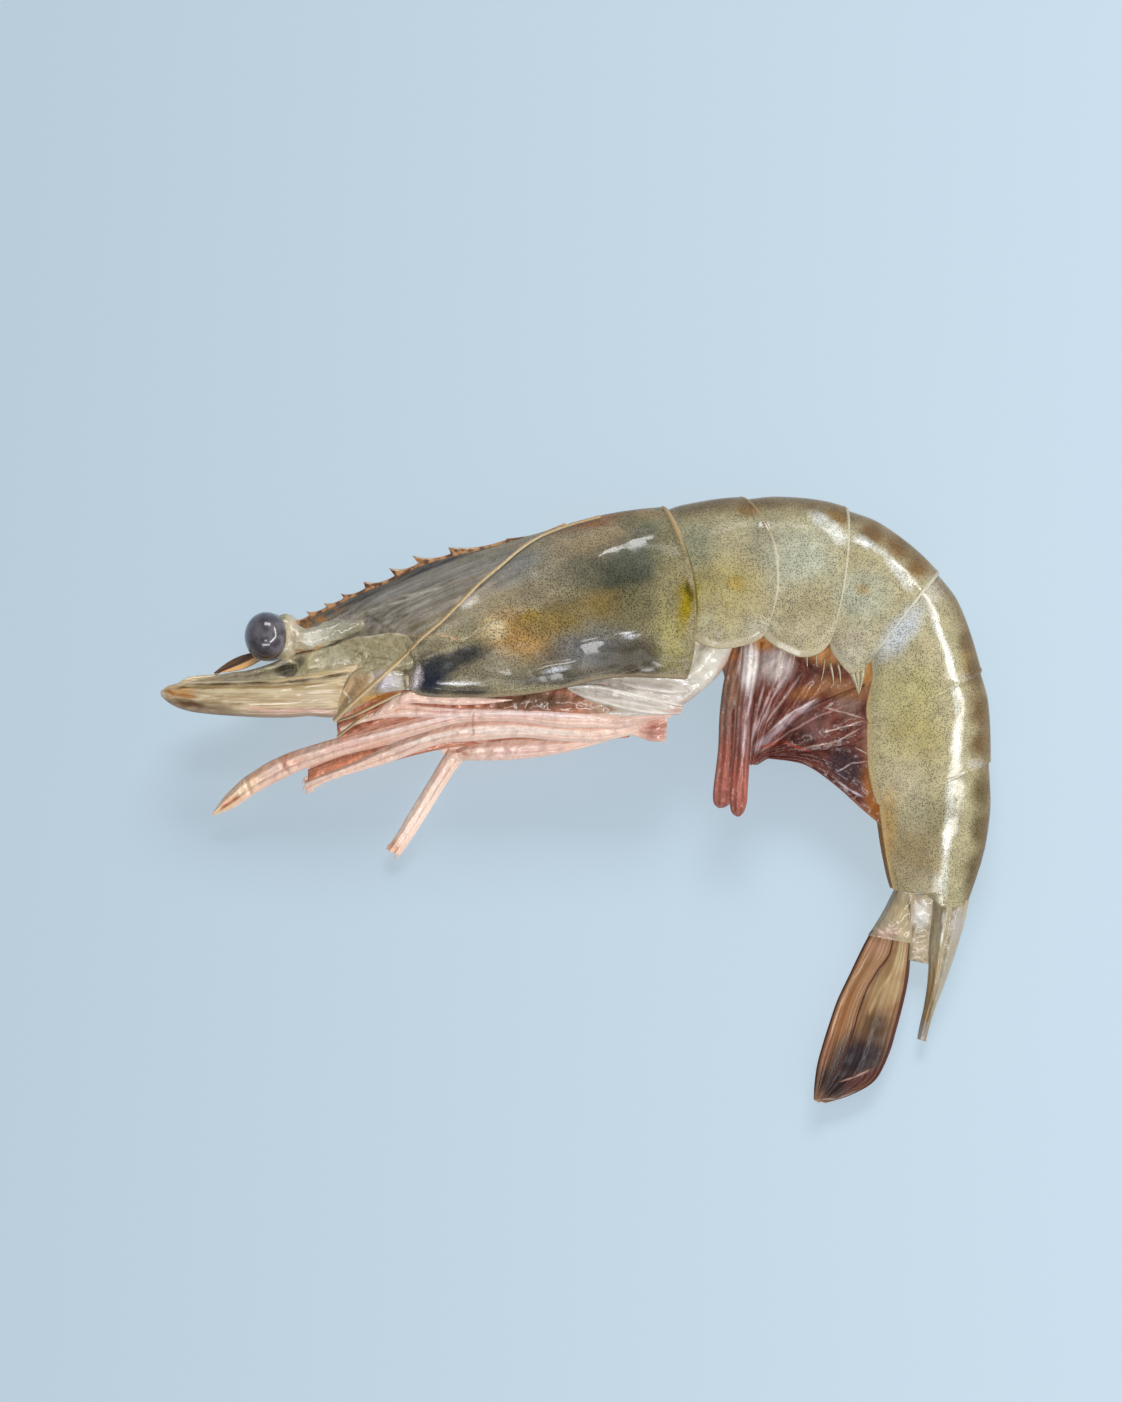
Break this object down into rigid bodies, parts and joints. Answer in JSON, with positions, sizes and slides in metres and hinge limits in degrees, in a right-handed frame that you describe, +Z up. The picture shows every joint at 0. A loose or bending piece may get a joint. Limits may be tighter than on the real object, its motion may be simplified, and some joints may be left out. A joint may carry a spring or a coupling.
{
  "type": "raw shrimp",
  "caption": "Whole raw shrimp, head on and unpeeled, lying on its side with its tail curled and its legs folded forward.",
  "frame": {"origin": "on the surface the shrimp lies on, under the centre of its bounding box", "axes": "+X from the head towards the curled abdomen, +Y towards the back, +Z up from the surface through the left side"},
  "size_m": [0.1204, 0.0888, 0.0172],
  "materials": {
    "carapace_shell": "wet, translucent olive-grey shell with fine dark speckles",
    "ring_shell": "wet, translucent greenish beige shell with fine dark speckles",
    "clear_shell": "wet, nearly clear horny shell",
    "eye": "glossy purple-grey",
    "pale_flesh": "wet raw flesh, pale and translucent",
    "leg": "wet, pink-cream, translucent",
    "mouth": "wet, orange-brown",
    "swimmer": "wet, brick red to maroon with fine hairs",
    "tail_fan": "wet, orange-brown going purple-black at the end",
    "antenna": "wet, ochre"
  },
  "bodies": {
    "root": {"carapace": "carapace_shell", "abdomen_ring_1": "ring_shell", "abdomen_ring_2": "ring_shell", "abdomen_ring_3": "ring_shell", "abdomen_ring_4": "ring_shell", "abdomen_ring_5": "ring_shell", "abdomen_ring_6": "ring_shell", "eyestalk_left": "clear_shell", "eyestalk_right": "clear_shell", "cephalon": "clear_shell", "antennule_left": "clear_shell", "antennule_right": "clear_shell", "antenna_root_left": "clear_shell", "antenna_root_right": "clear_shell", "antennal_scale_left": "clear_shell", "antennal_scale_right": "clear_shell", "telson": "clear_shell", "uropod_root_left": "clear_shell", "uropod_root_right": "clear_shell", "eye_left": "eye", "eye_right": "eye", "thorax_flesh": "pale_flesh", "leg_root_upper": "pale_flesh", "leg_root_lower": "pale_flesh", "tail_web": "pale_flesh", "whisker_1": "pale_flesh", "whisker_2": "pale_flesh", "maxilliped_left": "leg", "maxilliped_right": "leg", "leg_1_left": "leg", "leg_2_left": "leg", "leg_3_left_thigh": "leg", "leg_3_left_shin": "leg", "leg_1_right": "leg", "leg_2_right": "leg", "mouth_flap": "mouth", "leg_4_left": "swimmer", "pleopod_1_left": "swimmer", "pleopod_1_right": "swimmer", "pleopod_2_left": "swimmer", "pleopod_2_right": "swimmer", "pleopod_3_left": "swimmer", "pleopod_3_right": "swimmer", "pleopod_4_left": "swimmer", "pleopod_4_right": "swimmer", "pleopod_5_left": "swimmer", "pleopod_5_right": "swimmer", "pleopod_fringe": "swimmer", "uropod_outer_left": "tail_fan", "uropod_inner_left": "tail_fan", "uropod_outer_right": "tail_fan", "uropod_inner_right": "tail_fan", "antenna_thread": "antenna"}
  },
  "joints": []
}
